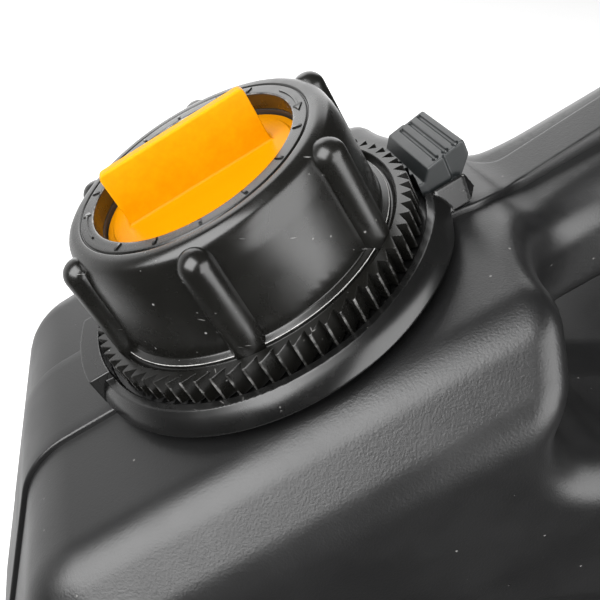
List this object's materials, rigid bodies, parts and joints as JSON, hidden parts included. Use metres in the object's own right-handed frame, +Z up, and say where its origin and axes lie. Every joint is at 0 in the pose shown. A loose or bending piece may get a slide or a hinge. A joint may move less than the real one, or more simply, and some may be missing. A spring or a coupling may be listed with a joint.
{
  "type": "jerry can",
  "caption": "Slim black fuel can with a tilted screw neck, ratchet ring cap, lock collar with thumb lever, winged yellow stopper, stored spout and a top handle.",
  "frame": {"origin": "middle of the can's footprint on the floor", "axes": "+Z up; +X along the can from the neck end to the far end; +Y towards the back broad face"},
  "size_m": [0.302, 0.116, 0.3802],
  "materials": {
    "can_plastic": "satin, fine orange peel",
    "collar_plastic": "satin",
    "cap_plastic": "semi-gloss, scuffed edges",
    "stopper_plastic": "satin",
    "seal_rubber": "matt",
    "spout_plastic": "satin"
  },
  "bodies": {
    "can": {"can_body": "can_plastic", "lock_collar": "collar_plastic"},
    "lever": {"release_lever": "collar_plastic"},
    "spout": {"pouring_spout": "spout_plastic", "neck_gasket": "seal_rubber"},
    "ring": {"ring_cap": "cap_plastic"},
    "stopper_seal": {"stopper_oring": "seal_rubber"},
    "stopper": {"stopper": "stopper_plastic"}
  },
  "joints": [
    {"name": "closure_lift", "type": "slide", "parent": "can", "child": "spout", "axis": [-0.5878, 0, 0.809], "range_m": [0, 0.009]},
    {"name": "ring_turn", "type": "hinge", "parent": "spout", "child": "ring", "pos_m": [-0.10406, 0, 0.33708], "axis": [0.5878, 0, -0.809], "range_deg": [0, 540.01]},
    {"name": "stopper_pull", "type": "slide", "parent": "spout", "child": "stopper_seal", "axis": [-0.5878, 0, 0.809], "range_m": [0, 0.013]},
    {"name": "stopper_twist", "type": "hinge", "parent": "stopper_seal", "child": "stopper", "pos_m": [-0.10876, 0, 0.34355], "axis": [-0.5878, 0, 0.809], "continuous": true},
    {"name": "lever_press", "type": "hinge", "parent": "can", "child": "lever", "pos_m": [-0.0582, 0, 0.34951], "axis": [0, 1, 0], "range_deg": [0, 12], "stiffness_Nm_per_rad": 0.6, "springref_deg": -5.73}
  ],
  "couplings": [
    {"joint": "ring_turn", "follows": "closure_lift", "rad_per_m": 1047.2}
  ]
}
